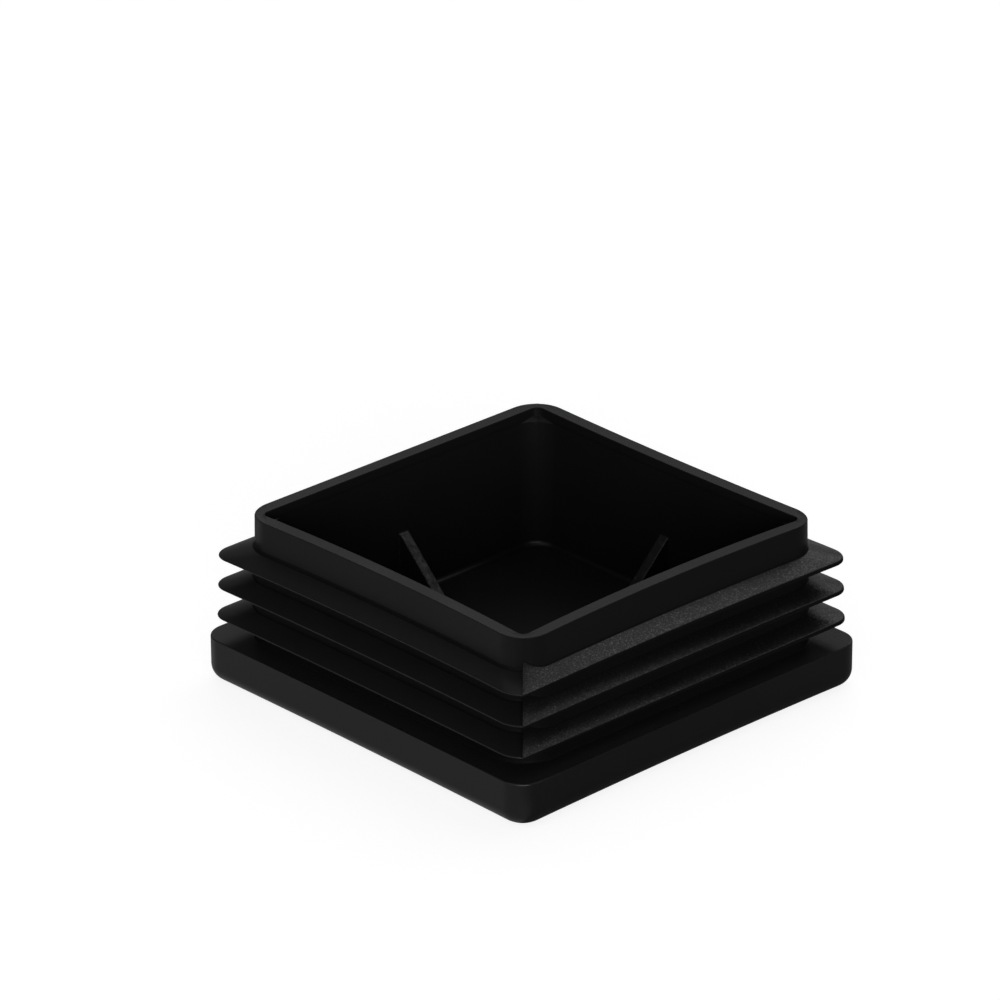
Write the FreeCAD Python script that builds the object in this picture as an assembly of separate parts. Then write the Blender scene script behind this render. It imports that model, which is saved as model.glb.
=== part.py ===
import FreeCAD, Part
import os

from FreeCAD import Vector

# Push-in end cap for a square tube, moulded in one piece, in millimetres.
# It stands on the outer face of its head, with the open end of the plug up, on +Z.
# The origin is the centre of the head's outer face.

# Tube that the cap closes
tube_side = 50.0            # outside width, which the head covers
tube_wall = 1.5

# Head
head_height = 5.1
head_corner_radius = 2.75   # corners seen from above
head_edge_radius = 1.7      # edge around the outer face
shoulder_edge_break = 0.2   # bevel beside the shoulder, where the tube's end lands

# Plug
plug_depth = 14.1           # from the shoulder to the rim
plug_clearance = 1.8        # between the plug and the tube's inner wall, at the rim
plug_draft = 0.25           # each side of the plug is wider by this at the shoulder
plug_corner_radius = 3.5

# Fins, which bend as they are pushed into the tube
fin_count = 3
fin_first_height = 2.3      # underside of the lowest fin above the shoulder
fin_pitch = 3.48
fin_squeeze = 0.65          # how far the lowest fin reaches past the tube's inner wall
fin_taper = 0.12            # each fin above reaches less far by this
fin_corner_radius = 2.2
fin_tip_thickness = 0.25
fin_tip_edge = 0.08         # broken upper edge of the tip
fin_fall = 1.05             # the upper face falls this far from the plug to the tip
fin_root_radius = 0.5       # hollow between the plug and a fin's upper face

# Cavity
floor_height = 3.1          # thickness of the head under the cavity
floor_edge_radius = 0.4
wall_thickness = 1.8        # at the rim, below the mouth
cavity_draft = 0.2          # each side of the cavity is narrower by this at the floor
cavity_corner_radius = 3.0
mouth_depth = 1.0           # stretch just inside the rim, with squarer corners
mouth_step = 0.15           # ledge between the mouth and the cavity below it
mouth_corner_radius = 0.6

# Gussets in the middle of the walls
gusset_leg = 7.5            # along the floor and up the wall
gusset_thickness = 1.3
gusset_overlap = 0.5        # how far a gusset reaches into the floor and the wall

# What follows from the sizes above
bore_half = tube_side / 2 - tube_wall
rim_height = head_height + plug_depth
ledge_height = rim_height - mouth_depth
up = Vector(0, 0, 1)


def outline(half, radius, z):
    """Closed square with rounded corners at the height z."""
    inner = half - radius
    side = Part.LineSegment(Vector(half, -inner, z), Vector(half, inner, z)).toShape()
    corner = Part.makeCircle(radius, Vector(inner, inner, z), up, 0, 90)
    quarters = range(0, 360, 90)
    return Part.Wire([e.rotated(Vector(), up, turn) for turn in quarters for e in (side, corner)])


def loft(*wires):
    """Solid with straight flanks through the given outlines."""
    return Part.makeLoft(list(wires), True, True)


def ring(shape, z):
    """Edges of a shape that lie flat at the height z."""
    return [e for e in shape.Edges if all(abs(v.Z - z) < 1e-5 for v in e.Vertexes)]


def make_head():
    """Square plate with a round edge at its outer face and a bevel at the shoulder."""
    plate = Part.Face(outline(tube_side / 2, head_corner_radius, 0)).extrude(up * head_height)
    plate = plate.makeFillet(head_edge_radius, ring(plate, 0))
    return plate.makeChamfer(shoulder_edge_break, ring(plate, head_height))


def plug_half(z):
    """Half width of the plug at the height z."""
    return bore_half - plug_clearance + plug_draft * (rim_height - z) / plug_depth


def plug_outline(z):
    """Outline of the plug. Its corners keep one axis from the shoulder to the rim."""
    half = plug_half(z)
    return outline(half, plug_corner_radius + half - plug_half(rim_height), z)


def fin_levels(index):
    """Heights of a fin's underside, of the upper edge of its tip, and of its root on the plug."""
    under = head_height + fin_first_height + index * fin_pitch
    top = under + fin_tip_thickness
    return under, top, top + fin_fall


def make_fin(index):
    """Barb around the plug: flat below, thin at the tip, rising to the plug above."""
    under, top, root = fin_levels(index)
    half = bore_half + fin_squeeze - index * fin_taper
    return loft(outline(half, fin_corner_radius, under),
                outline(half, fin_corner_radius, top - fin_tip_edge),
                outline(half - fin_tip_edge, fin_corner_radius - fin_tip_edge, top),
                plug_outline(root))


def make_finned_plug():
    """Plug with its fins, each with a hollow where its upper face meets the plug."""
    roots = [fin_levels(index)[2] for index in range(fin_count)]
    heights = [floor_height] + roots + [rim_height]
    plug = loft(*[plug_outline(z) for z in heights])
    plug = plug.multiFuse([make_fin(index) for index in range(fin_count)])
    for root in roots:
        plug = plug.makeFillet(fin_root_radius, ring(plug, root))
    return plug


def cavity_half(z):
    """Half width of the cavity below its mouth at the height z."""
    share = (ledge_height - z) / (ledge_height - floor_height)
    return plug_half(rim_height) - wall_thickness - cavity_draft * share


def make_cavity():
    """Hollow of the plug: round corners and floor edge, and a squarer mouth at the rim."""
    well = loft(outline(cavity_half(floor_height), cavity_corner_radius, floor_height),
                outline(cavity_half(ledge_height), cavity_corner_radius + cavity_draft, ledge_height))
    well = well.makeFillet(floor_edge_radius, ring(well, floor_height))
    mouth = Part.Face(outline(cavity_half(ledge_height) + mouth_step, mouth_corner_radius, ledge_height))
    return well.fuse(mouth.extrude(up * mouth_depth))


def make_gusset(turn):
    """Triangular rib between the floor and the middle of one wall."""
    wall = cavity_half(floor_height)
    reach = cavity_draft + gusset_overlap
    toe = Vector(wall - gusset_leg - reach, -gusset_thickness / 2, floor_height - reach)
    heel = toe + Vector(gusset_leg + 2 * reach, 0, 0)
    peak = heel + up * (gusset_leg + 2 * reach)
    rib = Part.Face(Part.makePolygon([toe, heel, peak, toe])).extrude(Vector(0, gusset_thickness, 0))
    return rib.rotated(Vector(), up, turn)


def make_end_cap():
    """The whole cap: head and finned plug, hollowed, with the gussets inside."""
    body = make_head().fuse(make_finned_plug()).cut(make_cavity())
    return body.multiFuse([make_gusset(turn) for turn in range(0, 360, 90)]).removeSplitter()


os.makedirs("parts", exist_ok=True)
make_end_cap().exportStep("parts/end_cap.step")
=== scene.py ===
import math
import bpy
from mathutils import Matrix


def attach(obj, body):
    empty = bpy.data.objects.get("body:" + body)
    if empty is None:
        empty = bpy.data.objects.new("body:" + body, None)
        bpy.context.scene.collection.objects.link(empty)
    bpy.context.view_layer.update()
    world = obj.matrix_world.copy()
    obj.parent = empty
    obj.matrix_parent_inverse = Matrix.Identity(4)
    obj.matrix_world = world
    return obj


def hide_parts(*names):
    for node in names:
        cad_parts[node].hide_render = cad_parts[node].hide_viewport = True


bl_info = {
    "name": "Square tube end cap",
    "version": (1, 0, 0),
    "blender": (4, 5, 0),
    "location": "View3D > Sidebar > End Cap",
    "description": "Builds a moulded push-in end cap for square tube, with its studio",
    "category": "Object",
}

from types import SimpleNamespace

import bmesh
import bpy
from bpy.props import FloatProperty, FloatVectorProperty, IntProperty, PointerProperty, StringProperty
from mathutils import Matrix, Vector

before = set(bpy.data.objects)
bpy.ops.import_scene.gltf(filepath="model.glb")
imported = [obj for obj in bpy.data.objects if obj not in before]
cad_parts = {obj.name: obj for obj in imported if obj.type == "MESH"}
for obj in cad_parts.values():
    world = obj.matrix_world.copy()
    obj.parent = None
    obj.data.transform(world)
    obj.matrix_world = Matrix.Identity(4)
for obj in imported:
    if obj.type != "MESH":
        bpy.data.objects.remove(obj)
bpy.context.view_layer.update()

MM = 0.001
NODE = "end_cap"

# Order of the finishes in the cap's material slots
(
    SMOOTH,
    FINE_SPARK,
    COARSE_SPARK,
    HEAD,
    GRAINED,
    CAVITY,
    FLOOR,
    GUSSET,
    DULL_PAINTED_SHADE,
    POLISHED,
    PLATE,
) = range(11)

# Roundings with a finish of their own, by their place in the wall's section
SHOULDER_EDGE = 2
FIN_ROOTS = (7, 11, 15)
CAVITY_FLOOR_EDGE = 20
FIN_COUNT = len(FIN_ROOTS)
# The fin roots take the dull finish, darker as painted shade in their hollows
RING_FINISHES = {SHOULDER_EDGE: POLISHED, CAVITY_FLOOR_EDGE: HEAD, **dict.fromkeys(FIN_ROOTS, DULL_PAINTED_SHADE)}

# Details of the moulding, all in millimetres: what the flat bands rise or fall by
HAIR = 0.01

# How far inside the head's sides the flat of the outer face ends
FACE_INSET = 2.6

# Width of the rounding at a fin's tip, as a share of the tip's thickness
TIP_ROUNDING = 0.4

# How far the ledge in the mouth falls towards the cavity
LEDGE_FALL = 0.3

# The fins count from this far above the shoulder
CLEAR_OF_SHOULDER = 1.0

# Vertices this close to the parting plane are on it
ON_PLANE = 0.001

# Gap between the mitred half and the parting plane, so that its points don't fold over the ridge
SEAM_GAP = 0.025

# How far each side of the head is drawn in at its middle
HEAD_BOW = {"left": 0.2, "right": 0.36, "back_right": 0.15, "back_left": 0.1}

# The same at the rim, with the power by which it grows from the shoulder up
RIM_BOW = {
    "left": (0.73, 0.65),
    "right": (0.87, 1.6),
    "back_right": (0.44, 1.0),
    "back_left": (0.02, 1.0),
}

# Where the drawing in starts, as a distance from the middle, and how far on it is full
BOW_STARTS = 14
BOW_FULL_AFTER = 5

# Vertices below the shoulder and past this distance from the middle are the head's
HEAD_STARTS = 21

# How far a gusset reaches into the floor and the wall, and the width of its rounded edges
GUSSET_OVERLAP = 0.7
GUSSET_EDGE = 0.1

# Edges sharper than this stay sharp in the shading, in degrees
SHARP_ANGLE = 38

# Distance of the softboxes from the cap, and height of the card above the floor, in metres
SOFTBOX_DISTANCE = 1.3
CARD_HEIGHT = 0.0001

# Directions of the picture's right and down edges, from the fitted camera
CAMERA_RIGHT = (0.68453, 0.728969, -0.004818)
CAMERA_DOWN = (0.304557, -0.291983, -0.906637)


def length(name, default, description):
    """Property for a length given in millimetres."""
    return FloatProperty(
        name=name,
        description=description,
        default=default * MM,
        min=0.0,
        precision=5,
        subtype="DISTANCE",
        unit="LENGTH",
    )


def tint(name, default, description):
    """Property for a colour written as sRGB hex."""
    return StringProperty(name=name, description=description, default=default)


def brightness(name, default, description):
    """Property for how bright a light is."""
    return FloatProperty(name=name, description=description, default=default, min=0.0)


class CapSizes(bpy.types.PropertyGroup):
    """Sizes of the moulded cap."""

    head_side: length("Head side", 50.0, "Width of the head, which is the width of the tube")
    head_height: length("Head height", 5.1, "From the outer face to the shoulder")
    head_corner: length("Head corner", 2.85, "Radius of the head's corners seen from above")
    head_edge: length("Head edge", 1.75, "Radius of the edge around the outer face")
    shoulder_edge: length("Shoulder edge", 0.16, "Radius of the edge where the tube lands")
    plug_half: length("Plug half width", 21.72, "From the middle to the plug's side at the rim")
    plug_draft: length("Plug draft", 0.25, "How much wider each side is at the shoulder")
    plug_corner: length("Plug corner", 3.7, "Radius of the plug's corners at the rim")
    rim_height: length("Rim height", 19.2, "Height of the rim above the outer face")
    fin_first: length("First fin", 7.4, "Height of the lowest fin's underside")
    fin_pitch: length("Fin pitch", 3.48, "From one fin to the next")
    fin_root: length("Fin root", 1.25, "From a fin's underside up to where its upper face meets the plug")
    near_reach: length("Near reach", 24.2, "From the middle to the lowest fin's tip, at the near corner")
    near_corner: length("Near corner", 3.3, "Radius of the fins' corner there, on its left half")
    left_reach: length("Left reach", 24.3, "The same reach at the left corner")
    left_corner: length("Left corner", 2.4, "Radius of the fins' corner there")
    mitre_reach: length("Mitre reach", 23.6, "The same reach right of the near corner")
    mitre_corner: length("Mitre corner", 0.5, "Radius of the fins' corner there")
    right_reach: length("Right reach", 24.25, "The same reach at the right corner")
    right_corner: length("Right corner", 2.4, "Radius of the fins' corner there")
    fin_taper: length("Fin taper", 0.1, "Each fin above the lowest reaches less far by this")
    thin_tip: length("Thin tip", 0.13, "Thickness of a fin's tip, except at the right corner")
    blunt_tip: length("Blunt tip", 0.42, "Thickness of a fin's tip at the right corner")
    soft_hollow: length("Soft hollow", 0.26, "Width of the hollow at the fins' roots on the left")
    crisp_hollow: length("Crisp hollow", 0.12, "The same on the right")
    corner_rise: FloatProperty(
        name="Corner rise",
        description="How much steeper the fins run up to the plug right of the near corner",
        default=1.3,
        min=0.0,
    )
    floor_height: length("Floor height", 3.1, "Thickness of the head under the cavity")
    wall: length("Wall", 1.59, "Thickness of the plug's wall at the rim")
    mouth_depth: length("Mouth depth", 1.0, "Depth of the squarer stretch at the rim")
    mouth_step: length("Mouth step", 0.015, "Width of the ledge below the mouth")
    mouth_corner: length("Mouth corner", 0.9, "Radius of the mouth's corners")
    cavity_corner: length("Cavity corner", 3.0, "Radius of the cavity's corners")
    cavity_draft: length("Cavity draft", 0.2, "How much narrower each side is at the floor")
    gusset_leg: length("Gusset leg", 7.5, "Reach of a gusset along the floor and up the wall")
    gusset_thickness: length("Gusset thickness", 1.3, "Thickness of a gusset")
    sink: length("Sink", 0.03, "Depth of the shrink hollow in the outer face")
    mismatch: length("Mould mismatch", 0.1, "How much higher the squarer half of the mould sits")
    flash: length("Flash", 0.04, "Height of the ridge on the parting line")
    gusset_fillet: length("Gusset fillet", 0.2, "Width of the hollow around a gusset's foot")
    corner_segments: IntProperty(
        name="Corner segments",
        description="Faces around each corner, an even number so that the parting line has an edge",
        default=16,
        min=4,
    )
    side_cuts: IntProperty(
        name="Side cuts",
        description="Cuts along each side, which let it draw in as it cools",
        default=27,
        min=1,
    )


class CapFinish(bpy.types.PropertyGroup):
    """Colours of the cap and of the studio, as sRGB hex."""

    smooth_black: tint("Smooth black", "121213", "Polyethylene with carbon black, from smooth mould steel")
    fine_black: tint("Fine black", "191919", "The same, from fine spark erosion")
    coarse_black: tint("Coarse black", "141415", "The same, from coarse spark erosion")
    head_black: tint("Head black", "121213", "The same on the head, which is handled most")
    # The dull black is darker as painted shade between the fins, in their root hollows and on the right
    # fins' tips
    dull_black: tint("Painted shade black", "0F0F10", "The same, darker as painted shade between the fins")
    # The plate black is paler as painted light, lifting the shade on the rim and the shoulder
    plate_black: tint("Plate painted light black", "1E1E1F", "The same on the rim and the shoulder, paler as painted light")
    core_black: tint("Core black", "161616", "The same inside, from the core")
    # The floor of the cavity is a touch paler than its walls
    dusty_black: tint("Cavity floor black", "1A1A1A", "The same on the cavity's floor, a touch paler")
    floor_tone: tint("Floor", "9A9A9A", "Pale paper under the cap")


class StageSettings(bpy.types.PropertyGroup):
    """Lamps and camera."""

    front_level: brightness("Front", 5.1, "Level of the low softbox in front")
    back_level: brightness("Back", 1.06, "Level of the high softbox behind")
    side_level: brightness("Side", 0.62, "Level of the softbox at the left")
    top_level: brightness("Top", 0.26, "Level of the softbox overhead")
    edge_level: brightness("Edge", 0.8, "Level of the small softbox at the right")
    low_level: brightness("Low", 0.4, "Level of the low softbox behind")
    card_level: brightness("Card", 0.345, "Level of the white card on the floor")
    world_level: brightness("World", 0.06, "Brightness of the room")
    camera_place: FloatVectorProperty(
        name="Camera",
        description="Where the camera stands",
        default=(0.44011, -0.41585, 0.30286),
        subtype="TRANSLATION",
        unit="LENGTH",
        precision=5,
    )
    camera_lens: FloatProperty(
        name="Lens",
        description="Focal length in millimetres",
        default=228.24,
        min=1.0,
    )


def linear(code):
    """Linear colour, as a vector, from sRGB hex."""
    values = [int(code[i : i + 2], 16) / 255 for i in (0, 2, 4)]
    return Vector([v / 12.92 if v <= 0.04045 else ((v + 0.055) / 1.055) ** 2.4 for v in values])


def clamp(share):
    """The share, held between 0 and 1."""
    return min(max(share, 0.0), 1.0)


# Mesh of the cap, which is made in millimetres


def in_millimetres(sizes):
    """The sizes as plain numbers in millimetres, with the counts as they are."""
    values = {}
    for prop in sizes.bl_rna.properties:
        if prop.identifier not in ("rna_type", "name"):
            value = getattr(sizes, prop.identifier)
            values[prop.identifier] = value / MM if prop.unit == "LENGTH" else value
    return SimpleNamespace(**values)


def plug_at(sizes, height):
    """Half width, height and corner radius of the plug's outside at a height."""
    share = (sizes.rim_height - height) / (sizes.rim_height - sizes.head_height)
    widening = sizes.plug_draft * share
    return sizes.plug_half + widening, height, sizes.plug_corner + widening


def fin_style(sizes, reach, corner, tip, hollow, lift=0.0, rise=0.0):
    """Shape that the fins have at one corner of the cap."""
    return SimpleNamespace(
        reach=reach, corner=corner, tip=tip, hollow=hollow, rise=rise, under=sizes.fin_first + lift
    )


def section_levels(sizes, style):
    """Corners of the wall's section, from the outer face round the rim and down to the floor.

    Each is half width, height, corner radius, rounding, its segments, and the finish of the band
    after it. Flat bands rise or fall by a hair, which lets them leave the mould."""
    s = sizes
    half = s.head_side / 2
    # Flat of the outer face, its edge, the shoulder's edge and the foot of the plug
    levels = [
        (half - FACE_INSET, HAIR / 2, s.head_corner - 1.2, 0.0, 0, HEAD),
        (half, 0.0, s.head_corner, s.head_edge, 10, HEAD),
        # The shoulder takes the plate finish, paler as painted light
        (half, s.head_height, s.head_corner, s.shoulder_edge, 4, PLATE),
        # The plug below the lowest fin takes the dull finish, darker as painted shade under that fin
        (*plug_at(s, s.head_height + HAIR), 0.2, 3, DULL_PAINTED_SHADE),
    ]
    for index in range(FIN_COUNT):
        under = style.under + index * s.fin_pitch
        reach = style.reach - index * s.fin_taper
        edge = TIP_ROUNDING * style.tip
        # The plug from each fin's root to the next fin takes the dull finish, darker as painted shade
        # under that fin; above the top fin it is smooth
        above = SMOOTH if index == FIN_COUNT - 1 else DULL_PAINTED_SHADE
        # Underside of a fin at the plug, both edges of its tip, and its root
        levels += [
            (*plug_at(s, under + 2 * HAIR), 0.12, 3, FINE_SPARK),
            (reach, under, style.corner, 0.03, 2, POLISHED),
            (reach - 0.02, under + style.tip, style.corner - 0.02, edge, 4, FINE_SPARK),
            (*plug_at(s, under + s.fin_root), style.hollow, 6, above),
        ]
    mouth = s.plug_half - s.wall
    well = mouth - s.mouth_step
    ledge = s.rim_height - s.mouth_depth
    base = well - s.cavity_draft
    # Outer and inner edge of the rim, both edges of the ledge, and the edge and flat of the floor
    levels += [
        # The rim takes the plate finish, paler as painted light
        (s.plug_half, s.rim_height, s.plug_corner, 0.07, 3, PLATE),
        (mouth, s.rim_height - HAIR, s.mouth_corner, 0.07, 3, CAVITY),
        (mouth - HAIR, ledge, s.mouth_corner, 0.02, 2, HEAD),
        (well, ledge - LEDGE_FALL, s.cavity_corner, 0.04, 2, CAVITY),
        (base, s.floor_height, s.cavity_corner, 0.6, 6, FLOOR),
        (base - 3.0, s.floor_height + HAIR, s.cavity_corner - 1.0, 0.0, 0, FLOOR),
    ]
    return levels


def add_ring(bm, sizes, half, height, radius):
    """Closed ring of edges: a square whose corners a vertex bevel rounds, with cuts along its sides."""
    count = len(bm.verts)
    place = Matrix.Translation((0, 0, height)) @ Matrix.Rotation(math.radians(45), 4, "Z")
    made = bmesh.ops.create_circle(
        bm, cap_ends=True, segments=4, radius=half * math.sqrt(2), matrix=place
    )
    face = made["verts"][0].link_faces[0]
    bmesh.ops.bevel(
        bm,
        geom=made["verts"],
        affect="VERTICES",
        offset=radius,
        offset_type="OFFSET",
        segments=sizes.corner_segments,
        profile=0.5,
        material=-1,
    )
    bm.verts.index_update()
    bm.verts.ensure_lookup_table()
    fresh = bm.verts[count:]
    faces = {f for v in fresh for f in v.link_faces}
    bmesh.ops.delete(bm, geom=list(faces), context="FACES_ONLY")
    edges = sorted({e for v in fresh for e in v.link_edges}, key=lambda e: e.calc_length())
    bmesh.ops.subdivide_edges(bm, edges=edges[-4:], cuts=sizes.side_cuts)
    bm.verts.ensure_lookup_table()
    bm.edges.index_update()
    return sorted({e for v in bm.verts[count:] for e in v.link_edges}, key=lambda e: e.index)


def round_ring(bm, edges, width, segments, finish=-1):
    """Rounds the ring of edges between two bands, in their finishes or in one of its own."""
    if segments:
        bmesh.ops.bevel(
            bm,
            geom=edges,
            affect="EDGES",
            offset=width,
            offset_type="OFFSET",
            segments=segments,
            profile=0.5,
            material=finish,
            clamp_overlap=False,
        )


def mitre_fins(rings, levels, rise):
    """Lets each fin's upper faces meet in a mitre at the corner, where they run higher up the plug."""
    for place in FIN_ROOTS:
        half, root = levels[place][:2]
        tip, top = levels[place - 1][:2]
        slope = (root - top) / (tip - half)
        for v in {v for e in rings[place] for v in e.verts}:
            v.co.z += rise * slope * (half - max(abs(v.co.x), abs(v.co.y)))


def make_shell(sizes, style):
    """The whole moulding without its gussets, with one style of fin all round."""
    bm = bmesh.new()
    levels = section_levels(sizes, style)
    rings = [add_ring(bm, sizes, *level[:3]) for level in levels]
    mitre_fins(rings, levels, style.rise)
    for ring, above, level in zip(rings, rings[1:], levels):
        band = bmesh.ops.bridge_loops(bm, edges=ring + above)
        for face in band["faces"]:
            face.material_index = level[5]
    for ring, finish in ((rings[0], GRAINED), (rings[-1], FLOOR)):
        disc = bmesh.ops.edgeloop_fill(bm, edges=ring)
        for face in disc["faces"]:
            face.material_index = finish
    for place, (ring, level) in enumerate(zip(rings, levels)):
        round_ring(bm, ring, *level[3:5], RING_FINISHES.get(place, -1))
    bm.verts.index_update()
    bm.verts.ensure_lookup_table()
    return bm


def make_moulding(sizes):
    """Shell whose fins come from two halves of a mould, which meet at the near and far corners.

    The fins also change along each side. A shell is made in the style of each corner, all with the
    same vertices in the same order, and each vertex takes its place between the two shells of its
    mould half. Beside the ridge on the parting line the mitred half begins a little way off."""
    s = sizes
    hollow, lift = s.crisp_hollow, s.mismatch
    styles = (
        fin_style(s, s.near_reach, s.near_corner, s.thin_tip, s.soft_hollow),
        fin_style(s, s.left_reach, s.left_corner, s.thin_tip, s.soft_hollow),
        fin_style(s, s.mitre_reach, s.mitre_corner, s.thin_tip, hollow, lift, s.corner_rise),
        fin_style(s, s.right_reach, s.right_corner, s.blunt_tip, hollow, lift),
    )
    near, left, mitred, right = (make_shell(s, style) for style in styles)
    seam = [v for v in near.verts if abs(v.co.x + v.co.y) < ON_PLANE and is_on_fins(v, s)]
    beside = {}
    for v in seam:
        for edge in v.link_edges:
            across = edge.other_vert(v)
            if across.co.x + across.co.y > ON_PLANE:
                beside[across.index] = mitred.verts[v.index].co + Vector((SEAM_GAP, SEAM_GAP, 0))
    for v in near.verts:
        past = v.co.x + v.co.y
        share = min(abs(past) / (2 * s.plug_half), 1.0)
        if past < 0:
            v.co = v.co.lerp(left.verts[v.index].co, share)
        elif past > ON_PLANE:
            place = mitred.verts[v.index].co.lerp(right.verts[v.index].co, share)
            v.co = beside.get(v.index, place)
    for v in seam:
        v.co += Vector((v.co.x, v.co.y, 0)).normalized() * s.flash
    for spare in (left, mitred, right):
        spare.free()
    return near


def is_on_fins(v, sizes):
    """Whether a vertex is on the outside of the plug, above the shoulder."""
    above = v.co.z > sizes.head_height + CLEAR_OF_SHOULDER
    return above and math.hypot(v.co.x, v.co.y) > sizes.plug_half


def draw_in(bm, sizes):
    """Pulls the sides in between their corners, as the moulding shrinks, and sinks the outer face."""
    face_half = sizes.head_side / 2 - FACE_INSET
    for v in bm.verts:
        x, y, z = v.co
        reach = max(abs(x), abs(y))
        if reach > BOW_STARTS:
            if abs(x) >= abs(y):
                side, axis, along = ("right" if x > 0 else "back_left"), 0, y / reach
            else:
                side, axis, along = ("back_right" if y > 0 else "left"), 1, x / reach
            share = (z - sizes.head_height) / (sizes.rim_height - sizes.head_height)
            most, power = RIM_BOW[side]
            depth = most * clamp(share) ** power
            if z < sizes.head_height and reach > HEAD_STARTS:
                depth = HEAD_BOW[side]
            depth *= (1 - along * along) * clamp((reach - BOW_STARTS) / BOW_FULL_AFTER)
            v.co[axis] -= math.copysign(depth, v.co[axis])
        if z < HAIR:
            v.co.z += sizes.sink * (1 - min(1.0, (reach / face_half) ** 2))


def make_gussets(sizes):
    """Four triangular ribs between the floor and the middles of the walls."""
    bm = bmesh.new()
    well = sizes.plug_half - sizes.wall - sizes.mouth_step - sizes.cavity_draft
    toe_reach = well - sizes.gusset_leg - GUSSET_OVERLAP
    toe = Vector((toe_reach, -sizes.gusset_thickness / 2, sizes.floor_height - GUSSET_OVERLAP))
    leg = sizes.gusset_leg + 2 * GUSSET_OVERLAP
    corners = [toe, toe + Vector((leg, 0, 0)), toe + Vector((leg, 0, leg))]
    face = bm.faces.new([bm.verts.new(c) for c in corners])
    slab = bmesh.ops.extrude_face_region(bm, geom=[face])
    moved = [g for g in slab["geom"] if isinstance(g, bmesh.types.BMVert)]
    bmesh.ops.translate(bm, verts=moved, vec=(0, sizes.gusset_thickness, 0))
    bmesh.ops.recalc_face_normals(bm, faces=bm.faces)
    slopes = []
    for edge in bm.edges:
        run = edge.verts[0].co - edge.verts[1].co
        if min(abs(run.x), abs(run.z)) > leg / 2:
            slopes.append(edge)
    bmesh.ops.bevel(
        bm,
        geom=slopes,
        affect="EDGES",
        offset=GUSSET_EDGE,
        offset_type="OFFSET",
        segments=3,
        profile=0.5,
        material=-1,
    )
    bmesh.ops.spin(
        bm,
        geom=bm.verts[:] + bm.edges[:] + bm.faces[:],
        cent=(0, 0, 0),
        axis=(0, 0, 1),
        angle=math.radians(270),
        steps=3,
        use_duplicate=True,
    )
    for face in bm.faces:
        face.material_index = GUSSET
    bmesh.ops.recalc_face_normals(bm, faces=bm.faces)
    return bm


def to_object(bm, name):
    """Object in the scene that holds the bmesh, from millimetres, at the origin."""
    mesh = bpy.data.meshes.new(name)
    bmesh.ops.scale(bm, vec=(MM, MM, MM), verts=bm.verts)
    bm.to_mesh(mesh)
    bm.free()
    piece = bpy.data.objects.new(name, mesh)
    bpy.context.scene.collection.objects.link(piece)
    return piece


def apply_modifiers(piece):
    """Turns the piece's modifiers into its mesh."""
    bpy.ops.object.select_all(action="DESELECT")
    piece.select_set(True)
    bpy.context.view_layer.objects.active = piece
    for modifier in list(piece.modifiers):
        bpy.ops.object.modifier_apply(modifier=modifier.name)


def join_solids(body, tool):
    """Unites two closed pieces into one and removes the second."""
    union = body.modifiers.new("Join gussets", "BOOLEAN")
    union.operation = "UNION"
    union.solver = "EXACT"
    union.object = tool
    apply_modifiers(body)
    bpy.data.objects.remove(tool)


def fillet_gussets(body, width):
    """Rounds the inner edges between the gussets and the cavity."""
    bm = bmesh.new()
    bm.from_mesh(body.data)
    feet = []
    for edge in bm.edges:
        finishes = {f.material_index for f in edge.link_faces}
        if GUSSET in finishes and len(finishes) == 2:
            feet.append(edge)
    bmesh.ops.bevel(
        bm,
        geom=feet,
        affect="EDGES",
        offset=width * MM,
        offset_type="OFFSET",
        segments=3,
        profile=0.5,
        material=-1,
    )
    bm.to_mesh(body.data)
    bm.free()


def finish_by_place(body, sizes):
    """Gives the fins on the right the coarser finish and dull tips darkened as painted shade, and smooths
    the shading.
    """
    above_shoulder = (sizes.head_height + CLEAR_OF_SHOULDER) * MM
    for face in body.data.polygons:
        x, y, z = face.center
        if x + y > 0:
            if face.material_index == FINE_SPARK:
                face.material_index = COARSE_SPARK
            # The right fins' tips take the dull finish, darker as painted shade along them
            elif face.material_index == POLISHED and z > above_shoulder:
                face.material_index = DULL_PAINTED_SHADE
        face.use_smooth = True
    body.data.set_sharp_from_angle(angle=math.radians(SHARP_ANGLE))
    weighted = body.modifiers.new("Even shading", "WEIGHTED_NORMAL")
    weighted.mode = "FACE_AREA"
    weighted.weight = 50
    weighted.keep_sharp = True


# Finishes


def add_node(tree, kind, inputs=None, **settings):
    """Adds a node, sets its settings, and fills its inputs with values or links."""
    node = tree.nodes.new(kind)
    for name, value in settings.items():
        setattr(node, name, value)
    for name, value in (inputs or {}).items():
        if isinstance(value, bpy.types.NodeSocket):
            tree.links.new(value, node.inputs[name])
        else:
            node.inputs[name].default_value = value
    return node


def vector_math(tree, operation, inputs):
    """Result of a vector operation on the inputs."""
    return add_node(tree, "ShaderNodeVectorMath", inputs, operation=operation).outputs["Vector"]


def new_material(name):
    """Empty node material and its tree."""
    material = bpy.data.materials.new(name)
    material.use_nodes = True
    material.node_tree.nodes.clear()
    return material, material.node_tree


# Size of the faint clouds in the gloss and the shade, in millimetres, and how much each varies by them
CLOUD_SIZE = 6.0
GLOSS_SPREAD = 0.04
SHADE_SPREAD = 0.12

# Grains under the first of these values stay plain, and those over the second are glossiest
PLAIN_GRAIN = 0.64
GLOSSY_GRAIN = 0.95


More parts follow.
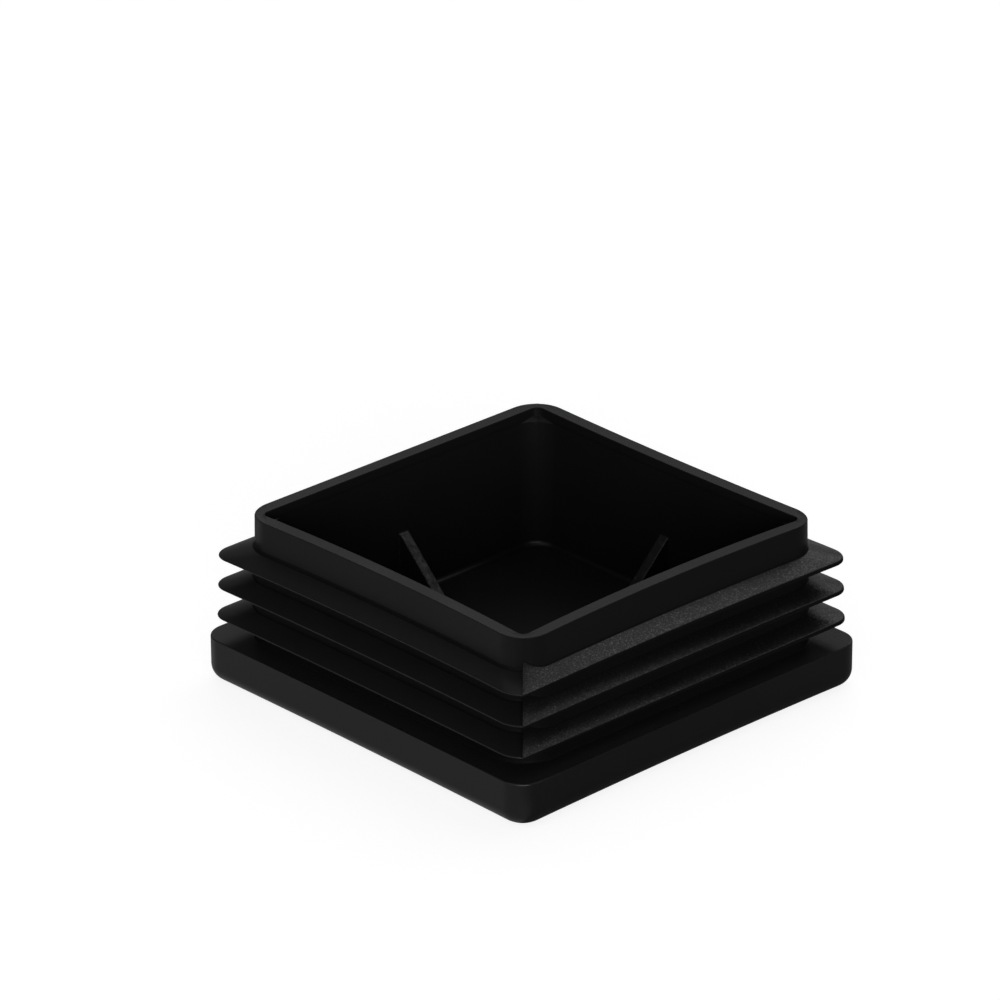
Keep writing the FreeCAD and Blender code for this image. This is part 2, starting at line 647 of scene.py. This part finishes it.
def polyethylene(name, colour, grain, height, roughness, specular, sparkle=0.0, glint=0.0):
    """Moulded polyethylene. Grain and its height are the mould's, in millimetres.

    Sparkle tilts each grain by itself, as a coarse spark-eroded mould leaves it, and glint is how much
    the glossiest grains reflect."""
    material, tree = new_material(name)
    place = add_node(tree, "ShaderNodeTexCoord").outputs["Object"]
    fine = add_node(
        tree,
        "ShaderNodeTexNoise",
        {"Vector": place, "Scale": 1 / (grain * MM), "Detail": 2.0, "Roughness": 0.65},
    ).outputs["Fac"]
    cloud = add_node(
        tree,
        "ShaderNodeTexNoise",
        {"Vector": place, "Scale": 1 / (CLOUD_SIZE * MM), "Detail": 3.0, "Roughness": 0.55},
    ).outputs["Fac"]
    rough = add_node(
        tree,
        "ShaderNodeMapRange",
        {
            "Value": cloud,
            "From Min": 0.3,
            "From Max": 0.7,
            "To Min": roughness - GLOSS_SPREAD,
            "To Max": roughness + GLOSS_SPREAD,
        },
    ).outputs["Result"]
    base = linear(colour)
    shade = add_node(
        tree,
        "ShaderNodeMix",
        {0: cloud, 6: (*base * (1 - SHADE_SPREAD), 1.0), 7: (*base * (1 + SHADE_SPREAD), 1.0)},
        data_type="RGBA",
    ).outputs[2]
    bump = add_node(
        tree,
        "ShaderNodeBump",
        {"Height": fine, "Strength": 1.0, "Distance": height * MM},
    )
    normal = bump.outputs["Normal"]
    if sparkle:
        cells = add_node(tree, "ShaderNodeTexVoronoi", {"Vector": place, "Scale": 1 / (grain * MM)})
        grains = cells.outputs["Color"]
        specular = add_node(
            tree,
            "ShaderNodeMapRange",
            {
                "Value": grains,
                "From Min": PLAIN_GRAIN,
                "From Max": GLOSSY_GRAIN,
                "To Min": specular,
                "To Max": glint,
            },
        ).outputs["Result"]
        tilt = vector_math(
            tree, "MULTIPLY_ADD", {0: grains, 1: (sparkle,) * 3, 2: (-sparkle / 2,) * 3}
        )
        tilted = vector_math(tree, "ADD", {0: normal, 1: tilt})
        normal = vector_math(tree, "NORMALIZE", {0: tilted})
    shader = add_node(
        tree,
        "ShaderNodeBsdfPrincipled",
        {
            "Base Color": shade,
            "Roughness": rough,
            "Normal": normal,
            "IOR": 1.51,
            "Specular IOR Level": specular,
        },
    )
    add_node(tree, "ShaderNodeOutputMaterial", {"Surface": shader.outputs["BSDF"]})
    return material


def make_finishes(finish):
    """The cap's finishes, in the order of its slots."""
    smooth, head, core = finish.smooth_black, finish.head_black, finish.core_black
    fine, coarse, painted_shade = finish.fine_black, finish.coarse_black, finish.dull_black
    rows = (
        # Smooth mould steel with a light polish: soft, clear sheen on the neck above the fins
        ("moulded_polyethylene_smooth", smooth, 0.35, 0.0016, 0.3, 0.11),
        # Fine spark erosion on one half of the fins: even satin
        ("moulded_polyethylene_fine_spark", fine, 0.16, 0.006, 0.38, 0.14),
        # Coarser spark erosion on the other half: grains that catch the lamp one by one
        ("moulded_polyethylene_coarse_spark", coarse, 0.11, 0.006, 0.34, 0.24, 0.1, 0.8),
        # Sides of the head, rubbed by handling, and soft edges inside: an even satin
        ("rubbed_polyethylene_head", head, 0.22, 0.006, 0.36, 0.2),
        # Grained outer face, which hides scuffs on a floor
        ("moulded_polyethylene_grained", head, 0.45, 0.02, 0.45, 0.3),
        # Core pin polished less: dull inside
        ("moulded_polyethylene_cavity", core, 0.3, 0.003, 0.34, 0.07),
        # Floor of the cavity: a touch paler
        ("paler_polyethylene_floor", finish.dusty_black, 0.25, 0.004, 0.4, 0.04),
        # Slots for the gussets, cut and polished by hand: glossier, with a waviness from the stone
        ("moulded_polyethylene_gusset", core, 0.45, 0.03, 0.3, 0.3, 0.15, 0.6),
        # Between the fins, in their root hollows and on the right fins' tips: dull, and darker as painted
        # shade
        ("moulded_polyethylene_dull_painted_shade", painted_shade, 0.2, 0.006, 0.55, 0.06),
        # Edges where parts of the mould shut, at the shoulder and the left fins' tips: a thin bright line
        ("moulded_polyethylene_polished", head, 0.5, 0.001, 0.3, 0.4),
        # Flat faces from the plates of the mould, the rim and the shoulder: paler as painted light lifting
        # their shade, with a low sheen
        ("moulded_polyethylene_plate_painted_light", finish.plate_black, 0.35, 0.0016, 0.28, 0.068),
    )
    return [polyethylene(*row) for row in rows]


# Studio


def soft_lamp(name, place, aim, size, level):
    """Soft lamp the camera doesn't see. At level 1 it is as bright as white paper in full light."""
    data = bpy.data.lights.new(name, "AREA")
    data.shape = "RECTANGLE"
    data.size, data.size_y = size
    data.energy = level * math.pi * size[0] * size[1]
    lamp = bpy.data.objects.new(name, data)
    lamp.location = place
    lamp.rotation_euler = (Vector(aim) - lamp.location).to_track_quat("-Z", "Y").to_euler()
    lamp.visible_camera = False
    bpy.context.scene.collection.objects.link(lamp)


def softbox(name, azimuth, elevation, size, level):
    """Softbox that faces the cap from a direction in degrees, out of the picture."""
    around, up = math.radians(azimuth), math.radians(elevation)
    reach = SOFTBOX_DISTANCE * math.cos(up)
    place = (reach * math.cos(around), reach * math.sin(around), SOFTBOX_DISTANCE * math.sin(up))
    soft_lamp(name, place, (0, 0, 0), size, level)


def white_card(name, place, size, level):
    """White card on the floor that throws light up at the cap."""
    x, y = place
    soft_lamp(name, (x, y, CARD_HEIGHT), (x, y, 1), size, level)


def make_world(level):
    """Pale room: white to the camera, and an even low light on the cap."""
    world = bpy.data.worlds.new("pale_room")
    world.use_nodes = True
    tree = world.node_tree
    tree.nodes.clear()
    camera_ray = add_node(tree, "ShaderNodeLightPath").outputs["Is Camera Ray"]
    strength = add_node(
        tree,
        "ShaderNodeMapRange",
        {"Value": camera_ray, "To Min": level, "To Max": 1.0},
    ).outputs["Result"]
    light = add_node(tree, "ShaderNodeBackground", {"Color": (1, 1, 1, 1), "Strength": strength})
    add_node(tree, "ShaderNodeOutputWorld", {"Surface": light.outputs["Background"]})
    bpy.context.scene.world = world


# Half width of the floor in millimetres, and the glow that lets the camera see it as white
FLOOR_HALF = 3000
FLOOR_GLOW = 0.84


def make_floor(finish):
    """Pale paper floor, which the camera sees as white apart from the cap's shadow."""
    bm = bmesh.new()
    bmesh.ops.create_grid(bm, x_segments=1, y_segments=1, size=FLOOR_HALF)
    floor = to_object(bm, "paper_floor")
    material, tree = new_material("matt_white_paper")
    camera_ray = add_node(tree, "ShaderNodeLightPath").outputs["Is Camera Ray"]
    glow = add_node(tree, "ShaderNodeMath", {0: camera_ray, 1: FLOOR_GLOW}, operation="MULTIPLY")
    shader = add_node(
        tree,
        "ShaderNodeBsdfPrincipled",
        {
            "Base Color": (*linear(finish.floor_tone), 1.0),
            "Roughness": 0.9,
            "Emission Color": (1, 1, 1, 1),
            "Emission Strength": glow.outputs["Value"],
        },
    )
    add_node(tree, "ShaderNodeOutputMaterial", {"Surface": shader.outputs["BSDF"]})
    floor.data.materials.append(material)


def make_camera(stage):
    """Camera where the photograph was taken from."""
    data = bpy.data.cameras.new("photo_camera")
    data.lens = stage.camera_lens
    data.sensor_width = 36.0
    data.clip_start = 0.01
    camera = bpy.data.objects.new("photo_camera", data)
    right = Vector(CAMERA_RIGHT)
    down = Vector(CAMERA_DOWN)
    forward = right.cross(down)
    turn = Matrix((right, -down, -forward)).transposed()
    camera.matrix_world = Matrix.Translation(stage.camera_place) @ turn.to_4x4()
    bpy.context.scene.collection.objects.link(camera)
    bpy.context.scene.camera = camera


class END_CAP_OT_make_cap(bpy.types.Operator):
    """Builds the moulded cap in place of the plain CAD solid"""

    bl_idname = "end_cap.make_cap"
    bl_label = "Make the cap"

    def execute(self, context):
        sizes = in_millimetres(context.scene.end_cap_sizes)
        shell = make_moulding(sizes)
        draw_in(shell, sizes)
        bmesh.ops.recalc_face_normals(shell, faces=shell.faces)
        body = to_object(shell, "end_cap_body")
        gussets = to_object(make_gussets(sizes), "gusset_tool")
        finishes = make_finishes(context.scene.end_cap_finish)
        for material in finishes:
            body.data.materials.append(material)
            gussets.data.materials.append(material)
        join_solids(body, gussets)
        fillet_gussets(body, sizes.gusset_fillet)
        finish_by_place(body, sizes)
        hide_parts(NODE)
        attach(body, "root")
        return {"FINISHED"}


class END_CAP_OT_make_stage(bpy.types.Operator):
    """Adds the floor, the lamps, the room and the camera"""

    bl_idname = "end_cap.make_stage"
    bl_label = "Make the stage"

    def execute(self, context):
        stage = context.scene.end_cap_stage
        make_floor(context.scene.end_cap_finish)
        make_world(stage.world_level)
        softboxes = (
            ("front_softbox", 322, 14, (1.0, 0.6), stage.front_level),
            ("back_softbox", 118, 48, (1.6, 1.1), stage.back_level),
            ("side_softbox", 270, 48, (1.0, 1.0), stage.side_level),
            ("top_softbox", 0, 90, (1.0, 1.0), stage.top_level),
            ("edge_softbox", 45, 50, (0.5, 0.5), stage.edge_level),
            ("low_softbox", 137, 6, (1.2, 0.26), stage.low_level),
        )
        for lamp in softboxes:
            softbox(*lamp)
        white_card("white_card", (-0.05, -0.0669), (0.16, 0.0862), stage.card_level)
        make_camera(stage)
        context.scene.view_settings.view_transform = "Standard"
        return {"FINISHED"}


class END_CAP_PT_panel(bpy.types.Panel):
    """Sizes, finishes and steps of the end cap"""

    bl_idname = "END_CAP_PT_panel"
    bl_label = "Tube end cap"
    bl_space_type = "VIEW_3D"
    bl_region_type = "UI"
    bl_category = "End Cap"

    def draw(self, context):
        scene = context.scene
        for group in (scene.end_cap_sizes, scene.end_cap_finish, scene.end_cap_stage):
            box = self.layout.box()
            for name in group.bl_rna.properties.keys():
                if name not in ("rna_type", "name"):
                    box.prop(group, name)
        for operator in STEPS:
            self.layout.operator(operator.bl_idname)


STEPS = (END_CAP_OT_make_cap, END_CAP_OT_make_stage)
CLASSES = (CapSizes, CapFinish, StageSettings, *STEPS, END_CAP_PT_panel)


def register():
    for cls in CLASSES:
        bpy.utils.register_class(cls)
    bpy.types.Scene.end_cap_sizes = PointerProperty(type=CapSizes)
    bpy.types.Scene.end_cap_finish = PointerProperty(type=CapFinish)
    bpy.types.Scene.end_cap_stage = PointerProperty(type=StageSettings)


def unregister():
    for name in ("end_cap_stage", "end_cap_finish", "end_cap_sizes"):
        delattr(bpy.types.Scene, name)
    for cls in reversed(CLASSES):
        bpy.utils.unregister_class(cls)


def main():
    register()
    bpy.ops.end_cap.make_cap()
    bpy.ops.end_cap.make_stage()


if __name__ == "__main__":
    main()
